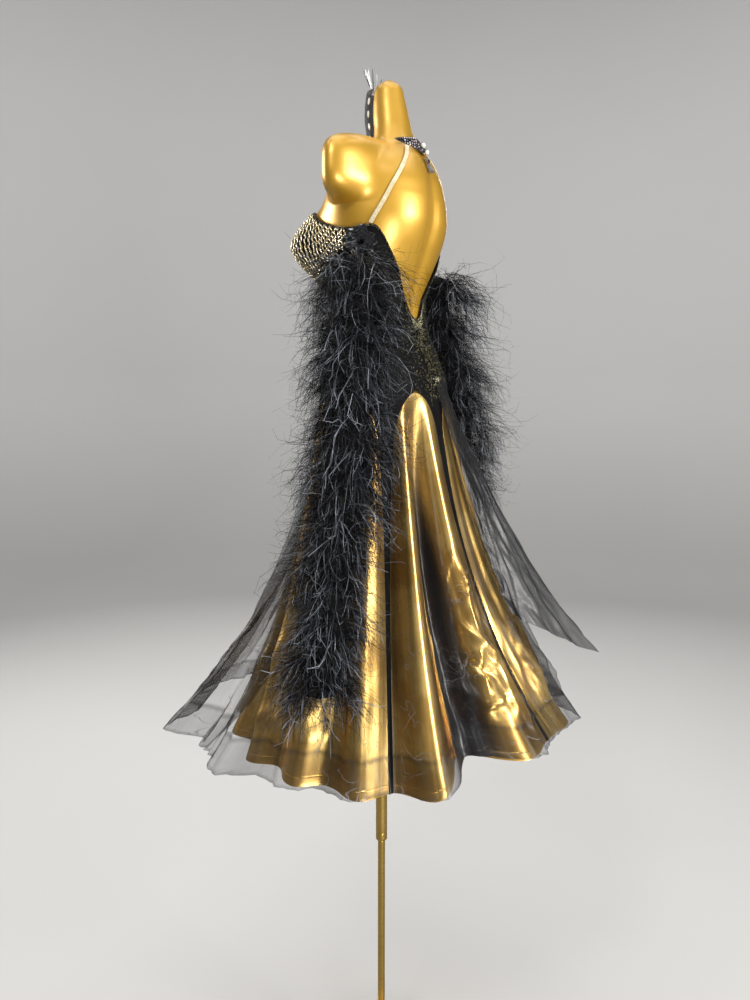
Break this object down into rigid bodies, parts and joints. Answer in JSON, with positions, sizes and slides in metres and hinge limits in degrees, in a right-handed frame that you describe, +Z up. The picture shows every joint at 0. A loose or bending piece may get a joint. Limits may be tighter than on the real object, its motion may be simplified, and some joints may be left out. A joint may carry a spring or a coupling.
{
  "type": "latin dance dress on a limbless dress form",
  "caption": "Long black and gold dance gown with arched godets, sheer overlay, chain cups and feather boas, standing on a limbless form with a pole and a round base.",
  "frame": {"origin": "centre of the base's underside, on the floor and under the pole", "axes": "+Z up along the pole, -Y the gown's front, +X the gown's left side"},
  "size_m": [0.9382, 0.806, 2.1806],
  "materials": {
    "gold_form": "metallic gold paint, satin gloss",
    "gold_metal": "gold plated tube and base, lightly polished",
    "black_cloth": "matte black stretch knit",
    "black_mesh": "black stretch mesh",
    "gold_satin": "shiny gold satin",
    "sheer_black": "sheer crisp black organza",
    "bead_chain": "pale gold and silver bead chain",
    "stone_band": "clear and black rhinestones on a band",
    "pale_elastic": "pale elastic",
    "white_beads": "glossy white beads",
    "feather": "dyed black ostrich feather"
  },
  "bodies": {
    "root": {"gore_1": "black_cloth", "gore_2": "black_cloth", "gore_3": "black_cloth", "gore_4": "black_cloth", "gore_5": "black_cloth", "gore_6": "black_cloth", "side_left": "black_cloth", "side_right": "black_cloth", "front_panel": "black_cloth", "rosette_left": "black_cloth", "rosette_right": "black_cloth", "godet_1": "gold_satin", "godet_2": "gold_satin", "godet_3": "gold_satin", "godet_4": "gold_satin", "godet_5": "gold_satin", "godet_6": "gold_satin", "organza_1": "sheer_black", "organza_2": "sheer_black", "organza_3": "sheer_black", "organza_4": "sheer_black", "organza_5": "sheer_black", "organza_6": "sheer_black", "back_float": "sheer_black", "cup_left": "bead_chain", "cup_right": "bead_chain", "halter_panel": "black_mesh", "neck_fan": "white_beads", "collar": "stone_band", "strap_left": "pale_elastic", "strap_right": "pale_elastic", "boa_left": "feather", "boa_right": "feather", "form": "gold_form", "tube": "gold_metal", "rod": "gold_metal", "base_collar": "gold_metal", "base": "gold_metal"}
  },
  "joints": []
}
